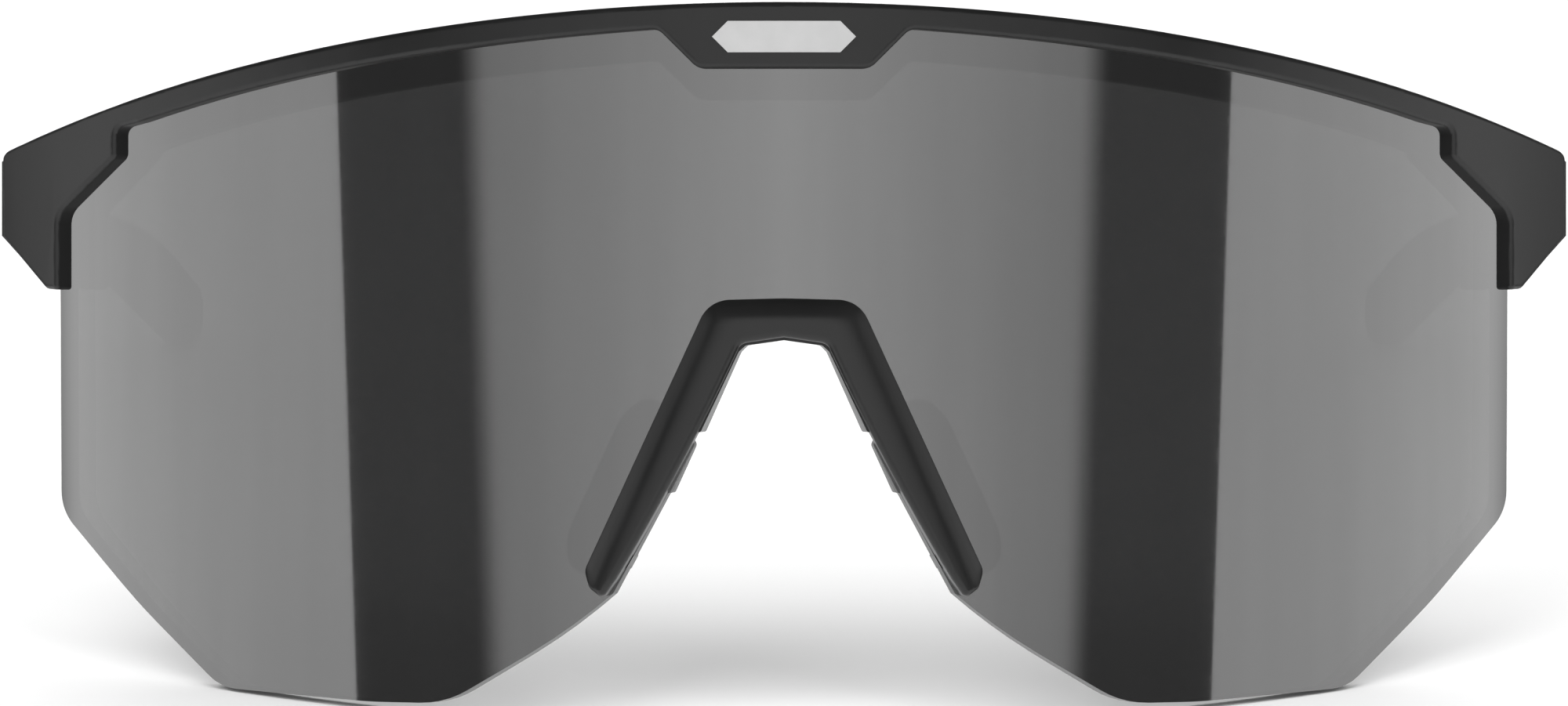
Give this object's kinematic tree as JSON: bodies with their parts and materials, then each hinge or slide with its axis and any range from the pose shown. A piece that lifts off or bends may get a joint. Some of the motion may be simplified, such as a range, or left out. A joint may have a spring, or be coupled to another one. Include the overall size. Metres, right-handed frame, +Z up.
{
  "type": "wraparound sport sunglasses",
  "caption": "Half-rim wraparound sunglasses with one cylindrical shield lens, clip-on nosepiece with adjustable pads, and folding temples with rubber tips.",
  "frame": {"origin": "centre of the bounding box in plan, at the level of the surface on which the open glasses rest", "axes": "+X to the wearer's left, +Y backwards along the temples, +Z up; the lens faces -Y and leans back"},
  "size_m": [0.14, 0.1782, 0.062],
  "materials": {
    "frame_nylon": "satin, finely textured moulding",
    "nose_nylon": "soft matte",
    "inlay": "satin pale grey",
    "lens": "polished, silver mirror over smoke",
    "soft_rubber": "matte, finely ribbed",
    "hinge_steel": "dark plated",
    "core_wire": "drawn wire"
  },
  "bodies": {
    "front": {"brow_frame": "frame_nylon", "brow_badge": "inlay", "shield_lens": "lens", "nosepiece": "nose_nylon", "frame_hinge_left": "hinge_steel", "frame_hinge_right": "hinge_steel", "hinge_screw_left": "hinge_steel", "hinge_screw_right": "hinge_steel"},
    "temple_left": {"temple_arm_left": "frame_nylon", "temple_hinge_left": "hinge_steel", "temple_core_left": "core_wire", "temple_tip_left": "soft_rubber"},
    "nose_pad_body_left": {"nose_pad_left": "soft_rubber", "nose_pad_core_left": "core_wire"},
    "temple_right": {"temple_arm_right": "frame_nylon", "temple_hinge_right": "hinge_steel", "temple_core_right": "core_wire", "temple_tip_right": "soft_rubber"},
    "nose_pad_body_right": {"nose_pad_right": "soft_rubber", "nose_pad_core_right": "core_wire"}
  },
  "joints": [
    {"name": "temple_fold_left", "type": "hinge", "parent": "front", "child": "temple_left", "pos_m": [0.065, -0.03719, 0.03712], "axis": [0, 0.19, 0.9818], "range_deg": [0, 84]},
    {"name": "temple_fold_right", "type": "hinge", "parent": "front", "child": "temple_right", "pos_m": [-0.065, -0.03719, 0.03712], "axis": [0, -0.19, -0.9818], "range_deg": [0, 90]},
    {"name": "nose_pad_bend_left", "type": "hinge", "parent": "front", "child": "nose_pad_body_left", "pos_m": [0.0119, -0.07915, 0.01978], "axis": [-0.4185, 0.1726, 0.8917], "range_deg": [-8, 8]},
    {"name": "nose_pad_bend_right", "type": "hinge", "parent": "front", "child": "nose_pad_body_right", "pos_m": [-0.0119, -0.07915, 0.01978], "axis": [0.4185, 0.1726, 0.8917], "range_deg": [-8, 8]}
  ]
}
